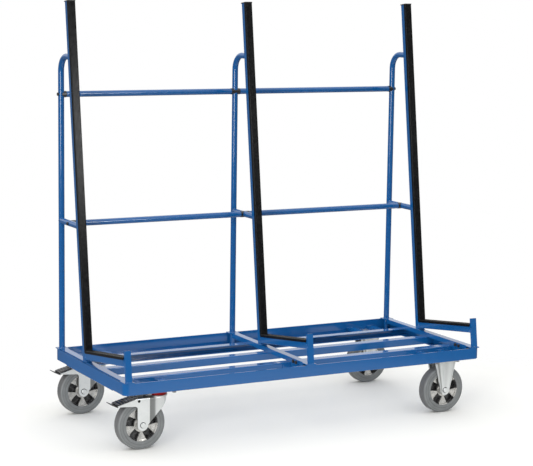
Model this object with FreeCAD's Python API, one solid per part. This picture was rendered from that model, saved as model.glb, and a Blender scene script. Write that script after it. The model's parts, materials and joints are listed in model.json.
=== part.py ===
import FreeCAD, Part
import math
import os

V = FreeCAD.Vector
PLUS_X = V(1, 0, 0)
PLUS_Y = V(0, 1, 0)
PLUS_Z = V(0, 0, 1)

# Wheels and caster stack, which set the height of the deck
wheel_diameter = 200.0
wheel_width = 50.0
tyre_depth = 33.0
tyre_shoulder = 9.0
crown_gap = 3.0
crown_thickness = 4.0
head_rise = 3.5
head_diameter = 78.0
seal_gap = 0.5
seal_height = 17.0
seal_diameter = 74.0
seal_wall = 14.0
plate_thickness = 6.0
plate_length = 135.0
plate_width = 110.0
plate_corner = 12.0
caster_bolt_pitch_x = 105.0
caster_bolt_pitch_y = 86.0
caster_bolt = 10.0
caster_nut_flats = 16.0
caster_nut_height = 8.0
caster_head_height = 7.0
caster_bolt_end = 0.5
bolt_clearance = 0.5

# Rim and bearings
band_thickness = 4.0
band_inset = 2.0
hub_diameter = 50.0
hub_overhang = 3.5
spoke_count = 5
spoke_depth = 36.0
web_thickness = 8.0
pocket_rim_gap = 0.5
pocket_hub_gap = 5.0
pocket_angle_outer = 18.5
pocket_angle_inner = 28.0
bearing_diameter = 28.0
bearing_width = 10.0
sleeve_clearance = 3.0
axle_diameter = 12.0
running_fit = 0.06
axle_head = 20.0
axle_head_height = 6.0
axle_nut_flats = 19.0
spacer_diameter = 20.0
spacer_gap = 0.4

# Fork and king pin
trail = 76.0
fork_gap = 6.0
fork_wall = 3.0
fork_edge = 5.0
leg_radius = 22.0
arm_reach = 105.0
arm_corner_drop = 24.0
arm_tip_drop = 18.0
arm_tip_height = 3.0
arm_corner_radius = 10.0
arm_root = 20.0
crown_length = 45.0
king_pin = 14.0
king_nut_flats = 24.0
king_nut_height = 9.0
king_nut_gap = 0.5

# Brake pedal, measured from its pivot
pivot_back = 16.5
pivot_drop = 3.0
pedal_slope = 14.0
pivot_pin = 8.0
pivot_recess = 1.5
lever_gap = 1.5
cheek_wall = 2.5
lever_rise = 3.5
lever_thickness = 2.5
lever_heel = 8.0
lever_length = 90.0
tip_length = 27.0
tip_angle = 40.0
tip_width = 52.0
tread_thickness = 7.0
tread_gap = 0.7
tread_heel = 5.0
tread_length = 87.0
tread_edge = 2.0
rib_count = 6
rib_width = 6.0
rib_height = 1.5
shoe_start = 18.0
shoe_length = 26.0
shoe_width = 40.0
shoe_gap = 1.6

# Fixed caster housing
housing_top = 104.0
housing_flange = 7.0
hub_room = 1.5
housing_emboss = 2.0
emboss_top = 28.0
emboss_bottom = 16.0

# Chassis rails
frame_length = 1650.0
frame_width = 735.0
rail_height = 48.0
rail_wall = 4.0
rail_flange = 35.0
rail_bend = 3.5
corner_radius = 22.0
corner_return = 125.0
end_rail_drop = 3.0
swivel_inset = 166.0
fixed_inset = 153.0
plate_edge_gap = 0.5
plate_end_gap = 1.5

# Deck bars and the strips that carry the casters
bar_width = 40.0
bar_wall = 3.0
bar_recess = 16.0
bar_bend = 4.0
strip_width = 34.0
strip_length = 143.5
strip_offset = 5.0
strip_height = 14.0
strip_wall = 2.5

# Racks
beam_width = 30.0
beam_height = 20.0
beam_wall = 2.0
rack_side_gap = 3.0
rack_tilt = 7.5
corner_rise = 47.0
corner_setback = 46.0
square_tube = 30.0
square_wall = 2.0
square_edge = 3.0
rubber_thickness = 8.0
rubber_lip = 4.0
rubber_wall = 1.5
rubber_edge = 3.0
post_length = 1413.0
stop_inset = 1.8
stop_depth = 12.0
stop_width = 25.0
stop_rise = 23.0
cap_thickness = 4.0
cap_overhang = 2.0
cap_plug = 16.0
cap_edge = 1.5
round_tube = 25.0
round_wall = 2.0
post_wall_gap = 1.0
bend_height = 1502.0
bend_radius = 63.0
foot_depth = 45.0
socket_width = 44.0
stop_plate_width = 42.0
socket_stem = 24.0
spigot_length = 30.0
spigot_fit = 0.1

# Rails between the racks
upper_rail_height = 1345.0
link_height = 820.0
lower_rail_setback = 104.0
saddle_diameter = 27.0
saddle_length = 8.0
saddle_plug = 20.0
rail_screw = 8.0
screw_clearance = 0.2
screw_head = 14.0
screw_head_height = 5.0
screw_seat = 2.0

# Brackets between foot beams and bars
bracket_wall = 4.0
bracket_reach = 64.0
bracket_foot = 40.0
bracket_top_gap = 4.0
bracket_foot_gap = 3.0
rack_bolt = 8.0
rack_bolt_flats = 13.0
rack_bolt_head = 5.5
rack_bolt_length = 16.0
rack_bolt_first = 28.0
rack_bolt_pitch = 25.0

# Heights that follow from the caster stack
wheel_radius = wheel_diameter / 2
crown_bottom = wheel_diameter + crown_gap
crown_top = crown_bottom + crown_thickness
head_top = crown_top + head_rise
seal_bottom = head_top + seal_gap
plate_bottom = seal_bottom + seal_height
plate_top = plate_bottom + plate_thickness
rail_bottom = plate_bottom
rail_top = rail_bottom + rail_height
flange_top = rail_bottom + rail_wall
end_rail_bottom = rail_bottom - end_rail_drop
bar_bottom = end_rail_bottom + rail_wall
bar_top = rail_top - bar_recess
strip_top = plate_top + strip_height
beam_top = bar_top + beam_height

# Places that follow from the frame
half_length = frame_length / 2
half_width = frame_width / 2
rack_x = half_length - rail_wall - rack_side_gap - beam_width / 2
rear_post_y = half_width - rail_wall - post_wall_gap - round_tube / 2
lower_rail_y = rear_post_y - lower_rail_setback
foot_inner = half_width - foot_depth
swivel_x = swivel_inset - half_length
fixed_x = half_length - fixed_inset
caster_y = half_width - rail_wall - plate_edge_gap - plate_width / 2
bar_pitch = half_width - rail_wall - strip_length - bar_width / 2
fork_inner = wheel_width / 2 + fork_gap
fork_outer = fork_inner + fork_wall
hub_half = wheel_width / 2 + hub_overhang
rim_radius = wheel_radius - tyre_depth
cheek_radius = lever_rise + lever_thickness


def box(x0, x1, y0, y1, z0, z1):
    return Part.makeBox(x1 - x0, y1 - y0, z1 - z0, V(x0, y0, z0))


def rod(radius, start, end):
    way = end.sub(start)
    return Part.makeCylinder(radius, way.Length, start, way)


def moved(shape, x=0.0, y=0.0, z=0.0):
    copy = shape.copy()
    copy.translate(V(x, y, z))
    return copy


def turned(shape, axis, angle):
    copy = shape.copy()
    copy.rotate(V(0, 0, 0), axis, angle)
    return copy


def mirrored_y(shape):
    return shape.mirror(V(0, 0, 0), PLUS_Y)


def fused(shapes):
    whole = shapes[0].multiFuse(shapes[1:])
    return whole.removeSplitter()


def prism(points, way):
    wire = Part.makePolygon(points + [points[0]])
    return Part.Face(wire).extrude(way)


def hexagon(flats, start, way):
    reach = flats / math.sqrt(3)
    side = PLUS_Z
    if abs(way.z) > 0:
        side = PLUS_X
    points = []
    for step in range(6):
        turn = FreeCAD.Rotation(way, 60 * step)
        points.append(start.add(turn.multVec(side).multiply(reach)))
    return prism(points, way)


def rounded_plan(length, width, radius, bottom, height):
    x = length / 2
    y = width / 2
    block = box(-x, x, -y, y, bottom, bottom + height)
    upright = [e for e in block.Edges if e.BoundBox.ZLength > height / 2]
    return block.makeFillet(radius, upright)


def edges_where(shape, test):
    return [e for e in shape.Edges if test(e.BoundBox)]


def flat_at(low, high, place):
    return abs(low - place) < 0.01 and abs(high - place) < 0.01


# Angle frame with rounded corners, cut into a front and a rear rail
def rail_ring():
    outside = rounded_plan(frame_length, frame_width, corner_radius, rail_bottom, rail_height)
    bottom = edges_where(outside, lambda b: flat_at(b.ZMin, b.ZMax, rail_bottom))
    outside = outside.makeFillet(rail_bend, bottom)
    upper = rounded_plan(frame_length - 2 * rail_wall, frame_width - 2 * rail_wall,
                         corner_radius - rail_wall, flange_top, rail_height)
    window = box(rail_flange - half_length, half_length - rail_flange,
                 rail_flange - half_width, half_width - rail_flange, 0, rail_top)
    ring = outside.cut(upper).cut(window)
    for recess in plate_recesses():
        ring = ring.cut(recess)
    return ring


# The lower flange is cut away where the caster plates lie against the strips
def plate_recesses():
    reach = plate_length / 2 + plate_end_gap
    recesses = []
    for x in (swivel_x, fixed_x):
        recess = box(x - reach, x + reach, half_width - rail_flange - plate_end_gap,
                     half_width - rail_wall, 0, flange_top)
        recesses.append(recess)
        recesses.append(mirrored_y(recess))
    return recesses


def caster_bolt_places(x):
    places = []
    for side in (-1, 1):
        for along in (-1, 1):
            for across in (-1, 1):
                places.append((x + along * caster_bolt_pitch_x / 2,
                               side * caster_y + across * caster_bolt_pitch_y / 2))
    return places


def caster_holes():
    radius = (caster_bolt + bolt_clearance) / 2
    places = caster_bolt_places(swivel_x) + caster_bolt_places(fixed_x)
    return [rod(radius, V(x, y, 0), V(x, y, strip_top - strip_wall)) for x, y in places]


def end_rail():
    length = frame_width - 2 * corner_return
    y = -length / 2
    block = box(-half_length, rail_flange - half_length, y, -y, end_rail_bottom, rail_top)
    bend = edges_where(block, lambda b: flat_at(b.XMin, b.XMax, -half_length)
                       and flat_at(b.ZMin, b.ZMax, end_rail_bottom))
    block = block.makeFillet(rail_bend, bend)
    hollow = box(rail_wall - half_length, 0, y, -y, end_rail_bottom + rail_wall, 2 * rail_top)
    return block.cut(hollow)


def deck_bar(web_side):
    x = half_length - rail_wall
    y = bar_width / 2
    block = box(-x, x, -y, y, bar_bottom, bar_top)
    bends = edges_where(block, lambda b: flat_at(b.YMin, b.YMax, -y) and b.XLength > x)
    block = block.makeFillet(bar_bend, bends)
    hollow = box(-2 * x, 2 * x, bar_wall - y, 2 * y, bar_bottom + bar_wall, bar_top - bar_wall)
    channel = block.cut(hollow)
    if web_side > 0:
        channel = mirrored_y(channel)
    return channel


def caster_strip():
    y0 = bar_pitch + bar_width / 2
    y1 = half_width - rail_wall
    x = strip_width / 2
    outside = box(-x, x, y0, y1, plate_top, strip_top)
    inside = box(strip_wall - x, x - strip_wall, 0, 2 * y1,
                 plate_top + strip_wall, strip_top - strip_wall)
    return outside.cut(inside)


# Leaning rack frame: local y runs back from the panel face, local z up along the post
def leaned(shape):
    tilted = turned(shape, PLUS_X, -rack_tilt)
    return moved(tilted, 0, corner_setback, beam_top + corner_rise)


def bay_depth():
    tilt = math.radians(rack_tilt)
    y = stop_inset - half_width - corner_setback
    z = -corner_rise
    return -(y * math.cos(tilt) - z * math.sin(tilt)) - stop_depth


def square_bar(size, edge, y0, y1, z0, z1, along):
    block = box(-size / 2, size / 2, y0, y1, z0, z1)
    if along == "z":
        long_edges = edges_where(block, lambda b: b.ZLength > (z1 - z0) / 2)
    else:
        long_edges = edges_where(block, lambda b: b.YLength > (y1 - y0) / 2)
    return block.makeFillet(edge, long_edges)


def above_beam(shape):
    ground = box(-frame_width, frame_width, -frame_length, frame_length, -frame_length, beam_top)
    return shape.cut(ground)


post_face = rubber_thickness
post_back = post_face + square_tube


def lean_post_solid():
    return leaned(square_bar(square_tube, square_edge, post_face, post_back,
                             -2 * corner_rise, post_length, "z"))


def lean_post():
    inner = square_tube - 2 * square_wall
    hollow = leaned(box(-inner / 2, inner / 2, post_face + square_wall, post_back - square_wall,
                        -3 * corner_rise, 2 * post_length))
    return above_beam(lean_post_solid().cut(hollow))


def arm():
    depth = bay_depth()
    inner = square_tube - 2 * square_wall
    z1 = -rubber_thickness
    z0 = z1 - square_tube
    outside = square_bar(square_tube, square_edge, -depth, post_face, z0, z1, "y")
    hollow = box(-inner / 2, inner / 2, -2 * depth, 2 * depth, z0 + square_wall, z1 - square_wall)
    return leaned(outside.cut(hollow))


def post_rubber():
    x = square_tube / 2 + rubber_wall
    block = box(-x, x, 0, post_face + rubber_lip, -rubber_thickness, post_length)
    front = edges_where(block, lambda b: flat_at(b.YMin, b.YMax, 0) and b.ZLength > post_length / 2)
    block = block.makeFillet(rubber_edge, front)
    seat = box(-square_tube / 2, square_tube / 2, post_face, 2 * post_back,
               -post_length, 2 * post_length)
    return leaned(block.cut(seat).cut(corner_mitre(-1)))


# The two rubbers meet at a mitre in the corner; each gives up the wedge on the other's side
def corner_mitre(side):
    reach = 2 * rubber_thickness
    width = square_tube + 4 * rubber_wall
    points = [V(-width / 2, reach, -reach), V(-width / 2, -reach, reach),
              V(-width / 2, side * reach, side * reach)]
    return prism(points, V(width, 0, 0))


def arm_rubber():
    x = square_tube / 2 + rubber_wall
    depth = bay_depth()
    block = box(-x, x, -depth, post_face, -rubber_thickness - rubber_lip, 0)
    top = edges_where(block, lambda b: flat_at(b.ZMin, b.ZMax, 0) and b.YLength > depth / 2)
    block = block.makeFillet(rubber_edge, top)
    seat = box(-square_tube / 2, square_tube / 2, -2 * depth, 2 * depth,
               -2 * square_tube, -rubber_thickness)
    return leaned(block.cut(seat).cut(corner_mitre(1)))


def stop_bar():
    depth = bay_depth()
    bar = box(-stop_width / 2, stop_width / 2, -depth - stop_depth, -depth,
              -4 * corner_rise, stop_rise)
    return above_beam(leaned(bar))


def post_cap():
    x = square_tube / 2 + cap_overhang
    cover = box(-x, x, 0, post_back + cap_overhang, post_length, post_length + cap_thickness)
    rim = edges_where(cover, lambda b: flat_at(b.ZMin, b.ZMax, post_length + cap_thickness))
    cover = cover.makeFillet(cap_edge, rim)
    inner = square_tube / 2 - square_wall
    plug = box(-inner, inner, post_face + square_wall, post_back - square_wall,
               post_length - cap_plug, post_length)
    return leaned(fused([cover, plug]))


def foot_beam(bracket_side):
    x = beam_width / 2
    outside = box(-x, x, -foot_inner, foot_inner, bar_top, beam_top)
    inside = box(beam_wall - x, x - beam_wall, -half_width, half_width,
                 bar_top + beam_wall, beam_top - beam_wall)
    beam = outside.cut(inside)
    for place in rack_bolt_places():
        start = V(0, place.y, place.z)
        hole = rod(rack_bolt / 2 + screw_clearance, start, start.add(V(bracket_side * 2 * x, 0, 0)))
        beam = beam.cut(hole)
    return beam


def bent_tube(radius):
    foot = V(0, rear_post_y, beam_top)
    bend_start = V(0, rear_post_y, bend_height - bend_radius)
    lean = bend_radius * (1 - math.sqrt(0.5))
    bend_middle = V(0, rear_post_y - lean, bend_height - lean)
    bend_end = V(0, rear_post_y - bend_radius, bend_height)
    front = V(0, corner_setback, bend_height)
    path = Part.Wire([Part.makeLine(foot, bend_start),
                      Part.Arc(bend_start, bend_middle, bend_end).toShape(),
                      Part.makeLine(bend_end, front)])
    ring = Part.Wire(Part.makeCircle(radius, foot, PLUS_Z))
    return path.makePipeShell([ring], True, False)


def screw_hole(y, z):
    radius = rail_screw / 2 + screw_clearance
    return rod(radius, V(-round_tube, y, z), V(round_tube, y, z))


def behind_lean_post(shape):
    far = leaned(box(-square_tube, square_tube, -frame_width, post_back,
                     -post_length, 2 * post_length))
    return shape.cut(far)


def rear_post():
    outside = bent_tube(round_tube / 2)
    inside = bent_tube(round_tube / 2 - round_wall)
    tube = outside.cut(inside).cut(screw_hole(rear_post_y, upper_rail_height))
    return behind_lean_post(tube)


def link_tube():
    start = V(0, rear_post_y, link_height)
    end = V(0, corner_setback, link_height)
    tube = rod(round_tube / 2, start, end).cut(rod(round_tube / 2 - round_wall, start, end))
    post = rod(round_tube / 2, V(0, rear_post_y, 0), V(0, rear_post_y, upper_rail_height))
    tube = tube.cut(post).cut(screw_hole(lower_rail_y, link_height))
    return behind_lean_post(tube)


def post_socket():
    x = socket_width / 2
    plate = box(-x, x, foot_inner, half_width, rail_top, beam_top)
    base = V(0, rear_post_y, flange_top)
    stem = rod(socket_stem / 2, base, V(0, rear_post_y, rail_top))
    spigot = rod(round_tube / 2 - round_wall - spigot_fit, V(0, rear_post_y, rail_top),
                 V(0, rear_post_y, beam_top + spigot_length))
    return fused([plate, stem, spigot])


def stop_plate():
    x = stop_plate_width / 2
    return box(-x, x, -half_width, -foot_inner, rail_top, beam_top)


def rack_bolt_places():
    web = bar_pitch + bar_width / 2
    z = (bar_top + beam_top) / 2
    places = []
    for number in range(2):
        y = -web - rack_bolt_first - number * rack_bolt_pitch
        places.append(V(beam_width / 2, y, z))
    return places


# Bracket on the +X side of a foot beam, in front of the front bar
def front_bracket():
    x0 = beam_width / 2
    web = bar_pitch + bar_width / 2
    low = bar_bottom + bracket_foot_gap
    side = box(x0, x0 + bracket_wall, -web - bracket_reach, -web, low, beam_top - bracket_top_gap)
    foot = box(x0, x0 + bracket_foot, -web - bracket_wall, -web, low, bar_top - bracket_foot_gap)
    bracket = fused([side, foot])
    for place in rack_bolt_places():
        hole = rod(rack_bolt / 2 + screw_clearance, V(0, place.y, place.z),
                   place.add(V(2 * bracket_wall, 0, 0)))
        bracket = bracket.cut(hole)
    return bracket


def bracket_bolt(place):
    seat = place.add(V(bracket_wall, 0, 0))
    shank = rod(rack_bolt / 2, seat.sub(V(rack_bolt_length, 0, 0)), seat)
    head = hexagon(rack_bolt_flats, seat, V(rack_bolt_head, 0, 0))
    return fused([shank, head])


# Rails between the racks, drawn from the crossing point at the origin towards +X
def cross_rail():
    gap = round_tube / 2 + saddle_length
    start = V(gap, 0, 0)
    end = V(rack_x - gap, 0, 0)
    return rod(round_tube / 2, start, end).cut(rod(round_tube / 2 - round_wall, start, end))


def rail_saddle(crossing):
    gap = round_tube / 2 + saddle_length
    collar = rod(saddle_diameter / 2, V(0, 0, 0), V(gap, 0, 0))
    plug = rod(round_tube / 2 - round_wall, V(gap, 0, 0), V(gap + saddle_plug, 0, 0))
    tube = rod(round_tube / 2, crossing * -round_tube, crossing * round_tube)
    bore = rod(rail_screw / 2 + screw_clearance, V(0, 0, 0), V(2 * rack_x, 0, 0))
    return fused([collar, plug]).cut(tube).cut(bore)


def rail_screw_solid(crossing):
    inner_end = round_tube / 2 + saddle_length + saddle_plug
    seat = round_tube / 2
    tip = V(-seat - screw_head_height, 0, 0)
    head = rod(screw_head / 2, tip, V(-seat, 0, 0))
    skirt = rod(screw_head / 2, V(-seat, 0, 0), V(screw_seat - seat, 0, 0))
    round_over = edges_where(head, lambda b: flat_at(b.XMin, b.XMax, tip.x))
    head = head.makeFillet(screw_seat, round_over)
    tube = rod(round_tube / 2, crossing * -round_tube, crossing * round_tube)
    skirt = skirt.cut(tube)
    shank = rod(rail_screw / 2, V(-seat, 0, 0), V(inner_end, 0, 0))
    return fused([head, skirt, shank])


def rail_stud():
    reach = round_tube / 2 + saddle_length + saddle_plug
    return rod(rail_screw / 2, V(-reach, 0, 0), V(reach, 0, 0))


# Caster pieces stand at the swivel axis; the axle lies behind it at -trail
def caster_plate():
    plate = rounded_plan(plate_length, plate_width, plate_corner, plate_bottom, plate_thickness)
    radius = (caster_bolt + bolt_clearance) / 2
    for along in (-1, 1):
        for across in (-1, 1):
            x = along * caster_bolt_pitch_x / 2
            y = across * caster_bolt_pitch_y / 2
            plate = plate.cut(rod(radius, V(x, y, 0), V(x, y, rail_top)))
    return plate


def swivel_plate():
    nut_top = crown_bottom - king_nut_gap
    nut_bottom = nut_top - king_nut_height
    pin = rod(king_pin / 2, V(0, 0, nut_bottom), V(0, 0, plate_bottom))
    nut = hexagon(king_nut_flats, V(0, 0, nut_bottom), V(0, 0, king_nut_height))
    return fused([caster_plate(), pin, nut])


def seal_ring():
    outside = rod(seal_diameter / 2, V(0, 0, seal_bottom), V(0, 0, plate_bottom))
    lower = edges_where(outside, lambda b: flat_at(b.ZMin, b.ZMax, seal_bottom))
    outside = outside.makeFillet(seal_height / 3, lower)
    return outside.cut(rod(seal_diameter / 2 - seal_wall, V(0, 0, 0), V(0, 0, rail_top)))


def u_plan(half, height):
    x = -2 * trail - arm_reach
    straight = box(x, 0, -half, half, 0, height)
    return fused([straight, rod(half, V(0, 0, 0), V(0, 0, height))])


def fork_side():
    axle = -trail
    drop = wheel_diameter - arm_tip_drop
    start = V(axle - leg_radius, 0, wheel_radius)
    front = fork_outer + fork_edge
    right = V(axle + leg_radius, 0, wheel_radius)
    corner = V(axle - leg_radius, 0, wheel_diameter - arm_corner_drop)
    points = [start, corner, V(axle - arm_reach, 0, drop),
              V(axle - arm_reach, 0, drop + arm_tip_height),
              V(axle - arm_root, 0, crown_top), V(front, 0, crown_top),
              V(front, 0, crown_bottom - crown_thickness), right]
    lines = [Part.makeLine(a, b) for a, b in zip(points, points[1:])]
    bottom = V(axle, 0, wheel_radius - leg_radius)
    lines.append(Part.Arc(right, bottom, start).toShape())
    side = Part.Face(Part.Wire(lines)).extrude(V(0, 2 * fork_outer, 0))
    side = moved(side, 0, -fork_outer, 0)
    bend = edges_where(side, lambda b: flat_at(b.XMin, b.XMax, corner.x)
                       and flat_at(b.ZMin, b.ZMax, corner.z))
    return side.makeFillet(arm_corner_radius, bend)


def fork():
    outside = u_plan(fork_outer, crown_top)
    rim = edges_where(outside, lambda b: flat_at(b.ZMin, b.ZMax, crown_top) and b.XMax > -1)
    outside = outside.makeFillet(fork_edge, rim)
    inside = u_plan(fork_inner, crown_bottom)
    window = box(-2 * trail - arm_reach, -crown_length, -fork_inner, fork_inner,
                 crown_bottom - crown_thickness, rail_top)
    shell = outside.cut(inside).common(fork_side()).cut(window)
    head = rod(head_diameter / 2, V(0, 0, crown_top), V(0, 0, head_top))
    whole = fused([shell, head])
    king_bore = rod(king_pin / 2 + running_fit, V(0, 0, 0), V(0, 0, rail_top))
    axle_bore = rod(axle_diameter / 2, V(-trail, -rail_top, wheel_radius),
                    V(-trail, rail_top, wheel_radius))
    pivot = pedal_pivot()
    pin_bore = rod(pivot_pin / 2 + running_fit, pivot.sub(V(0, rail_top, 0)),
                   pivot.add(V(0, rail_top, 0)))
    return whole.cut(king_bore).cut(axle_bore).cut(pin_bore)


def pedal_pivot():
    return V(-trail - pivot_back, 0, wheel_diameter - pivot_drop)


def sloped(shape):
    pivot = pedal_pivot()
    return moved(turned(shape, PLUS_Y, -pedal_slope), pivot.x, pivot.y, pivot.z)


def brake_lever():
    half = fork_inner - lever_gap
    bend = math.radians(tip_angle)
    low = lever_rise
    high = lever_rise + lever_thickness
    inner_corner = lever_length - lever_thickness * math.tan(bend / 2)
    tip = V(-lever_length - tip_length * math.cos(bend), 0, low + tip_length * math.sin(bend))
    across = V(lever_thickness * math.sin(bend), 0, lever_thickness * math.cos(bend))
    points = [V(lever_heel, 0, low), V(-lever_length, 0, low), tip, tip.add(across),
              V(-inner_corner, 0, high), V(lever_heel, 0, high)]
    blade = moved(prism(points, V(0, 2 * half, 0)), 0, -half, 0)
    trim = box(-2 * lever_length, -lever_length, tip_width / 2, fork_outer, -fork_outer, fork_outer)
    blade = blade.cut(trim).cut(mirrored_y(trim))
    cheek = fused([rod(cheek_radius, V(0, half - cheek_wall, 0), V(0, half, 0)),
                   box(-cheek_radius, cheek_radius, half - cheek_wall, half, 0, low)])
    pin = rod(pivot_pin / 2, V(0, half - cheek_wall, 0), V(0, fork_outer - pivot_recess, 0))
    sides = [cheek, pin, mirrored_y(cheek), mirrored_y(pin)]
    return sloped(fused([blade] + sides))


def pedal_tread():
    half = fork_inner - tread_gap
    low = lever_rise + lever_thickness
    high = low + tread_thickness
    pad = box(-tread_length, tread_heel, -half, half, low, high)
    rim = edges_where(pad, lambda b: flat_at(b.ZMin, b.ZMax, high))
    pad = pad.makeFillet(tread_edge, rim)
    pitch = (tread_length + tread_heel) / (rib_count + 1)
    ribs = []
    for number in range(rib_count):
        x = tread_heel - (number + 1) * pitch
        rib = box(x - rib_width / 2, x + rib_width / 2, tread_edge * 2 - half, half - tread_edge * 2,
                  high - rib_height, high + rib_height)
        ribs.append(rib)
    return sloped(fused([pad] + ribs))


def brake_shoe():
    half = shoe_width / 2
    block = box(-shoe_start - shoe_length, -shoe_start, -half, half, -tyre_depth, lever_rise)
    tyre = rod(wheel_radius + shoe_gap, V(-trail, -wheel_width, wheel_radius),
               V(-trail, wheel_width, wheel_radius))
    return sloped(block).cut(tyre)


# Wheel pieces stand on the axle line, which runs along Y through the origin
def rim():
    half_band = wheel_width / 2 - band_inset
    half_spoke = spoke_depth / 2
    hub = rod(hub_diameter / 2, V(0, -hub_half, 0), V(0, hub_half, 0))
    disc = rod(rim_radius - band_thickness / 2, V(0, -half_spoke, 0), V(0, half_spoke, 0))
    band = rod(rim_radius, V(0, -half_band, 0), V(0, half_band, 0))
    band = band.cut(rod(rim_radius - band_thickness, V(0, -rim_radius, 0), V(0, rim_radius, 0)))
    whole = fused([hub, disc, band])
    for number in range(spoke_count):
        middle = 360.0 / spoke_count * (number + 0.5) - 90.0
        pocket = rim_pocket(middle)
        whole = whole.cut(pocket).cut(mirrored_y(pocket))
    bore = bearing_diameter / 2 - sleeve_clearance
    whole = whole.cut(rod(bore, V(0, -hub_half, 0), V(0, hub_half, 0)))
    for end in (-1, 1):
        seat = rod(bearing_diameter / 2, V(0, end * hub_half, 0),
                   V(0, end * (hub_half - bearing_width), 0))
        whole = whole.cut(seat)
    return whole


def polar(radius, angle, y):
    turn = math.radians(angle)
    return V(radius * math.cos(turn), y, radius * math.sin(turn))


def rim_pocket(middle):
    inner = hub_diameter / 2 + pocket_hub_gap
    outer = rim_radius - band_thickness - pocket_rim_gap
    y = web_thickness / 2
    inner_start = polar(inner, middle - pocket_angle_inner, y)
    inner_end = polar(inner, middle + pocket_angle_inner, y)
    outer_start = polar(outer, middle - pocket_angle_outer, y)
    outer_end = polar(outer, middle + pocket_angle_outer, y)
    wire = Part.Wire([Part.Arc(inner_start, polar(inner, middle, y), inner_end).toShape(),
                      Part.makeLine(inner_end, outer_end),
                      Part.Arc(outer_end, polar(outer, middle, y), outer_start).toShape(),
                      Part.makeLine(outer_start, inner_start)])
    return Part.Face(wire).extrude(V(0, wheel_width, 0))


def tyre():
    half = wheel_width / 2
    bead = half - band_inset
    wall_low = rim_radius + tyre_depth * 0.3
    wall_high = wheel_radius - tyre_shoulder
    points = [V(rim_radius, -bead, 0), V(rim_radius + band_inset, -half, 0),
              V(wall_low, -half, 0), V(wall_low + band_inset, band_inset - half, 0),
              V(wall_high, band_inset - half, 0)]
    lines = [Part.makeLine(a, b) for a, b in zip(points, points[1:])]
    tread_edge_y = band_inset - half + tyre_shoulder
    lean = tyre_shoulder * (1 - math.sqrt(0.5))
    shoulder = V(wheel_radius, tread_edge_y, 0)
    middle = V(wheel_radius - lean, band_inset - half + lean, 0)
    lines.append(Part.Arc(points[-1], middle, shoulder).toShape())
    centre_top = V(wheel_radius, 0, 0)
    centre_low = V(rim_radius, 0, 0)
    lines.append(Part.makeLine(shoulder, centre_top))
    lines.append(Part.makeLine(centre_top, centre_low))
    lines.append(Part.makeLine(centre_low, points[0]))
    side = Part.Face(Part.Wire(lines)).revolve(V(0, 0, 0), PLUS_Y, 360)
    return fused([side, mirrored_y(side)])


def bearings():
    rings = []
    for end in (-1, 1):
        start = V(0, end * (hub_half - bearing_width), 0)
        outside = rod(bearing_diameter / 2, start, V(0, end * hub_half, 0))
        bore = rod(axle_diameter / 2 + running_fit, V(0, -hub_half, 0), V(0, hub_half, 0))
        rings.append(outside.cut(bore))
    return Part.makeCompound(rings)


def axle():
    shaft = rod(axle_diameter / 2, V(0, -fork_outer, 0), V(0, fork_outer, 0))
    head = rod(axle_head / 2, V(0, -fork_outer - axle_head_height, 0), V(0, -fork_outer, 0))
    front = edges_where(head, lambda b: flat_at(b.YMin, b.YMax, -fork_outer - axle_head_height))
    head = head.makeFillet(axle_head_height / 3, front)
    nut = hexagon(axle_nut_flats, V(0, fork_outer, 0), V(0, axle_head_height, 0))
    spacer = rod(spacer_diameter / 2, V(0, hub_half + spacer_gap, 0), V(0, fork_inner, 0))
    return fused([shaft, head, nut, spacer, mirrored_y(spacer)])


# Fixed housing: two pressed legs with edges bent inward, under a plate
def housing_outline(inset, y, depth):
    top = housing_top / 2 - inset
    low = leg_radius - inset
    left_top = V(-top, y, plate_bottom)
    right_top = V(top, y, plate_bottom)
    right = V(low, y, wheel_radius)
    left = V(-low, y, wheel_radius)
    bottom = V(0, y, wheel_radius - low)
    wire = Part.Wire([Part.makeLine(left_top, right_top), Part.makeLine(right_top, right),
                      Part.Arc(right, bottom, left).toShape(), Part.makeLine(left, left_top)])
    return Part.Face(wire).extrude(V(0, depth, 0))


def fixed_housing():
    flange = housing_flange
    leg = housing_outline(0, -fork_outer, flange)
    leg = leg.cut(housing_outline(fork_wall, -fork_inner, flange))
    room = hub_half + hub_room
    leg = leg.cut(rod(hub_diameter / 2 + hub_room, V(0, -room, wheel_radius), V(0, room, wheel_radius)))
    z1 = plate_bottom - crown_thickness
    z0 = wheel_radius + 1.5 * leg_radius
    emboss = prism([V(-emboss_top / 2, -fork_outer, z1), V(emboss_top / 2, -fork_outer, z1),
                    V(emboss_bottom / 2, -fork_outer, z0), V(-emboss_bottom / 2, -fork_outer, z0)],
                   V(0, -housing_emboss, 0))
    leg = fused([leg, emboss])
    top = housing_top / 2
    crown = box(-top, top, -fork_outer, fork_outer, z1, plate_bottom)
    whole = fused([caster_plate(), crown, leg, mirrored_y(leg)])
    bore = rod(axle_diameter / 2, V(0, -rail_top, wheel_radius), V(0, rail_top, wheel_radius))
    return whole.cut(bore)


# Bolt from below, with its nut held inside the strip
def caster_bolt_solid():
    radius = caster_bolt / 2
    seat = plate_top + strip_wall
    end = seat + caster_nut_height + caster_bolt_end
    shank = rod(radius, V(0, 0, plate_bottom), V(0, 0, end))
    head = hexagon(caster_nut_flats, V(0, 0, plate_bottom), V(0, 0, -caster_head_height))
    nut = hexagon(caster_nut_flats, V(0, 0, seat), V(0, 0, caster_nut_height))
    return fused([shank, head, nut])


parts = {}

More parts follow.
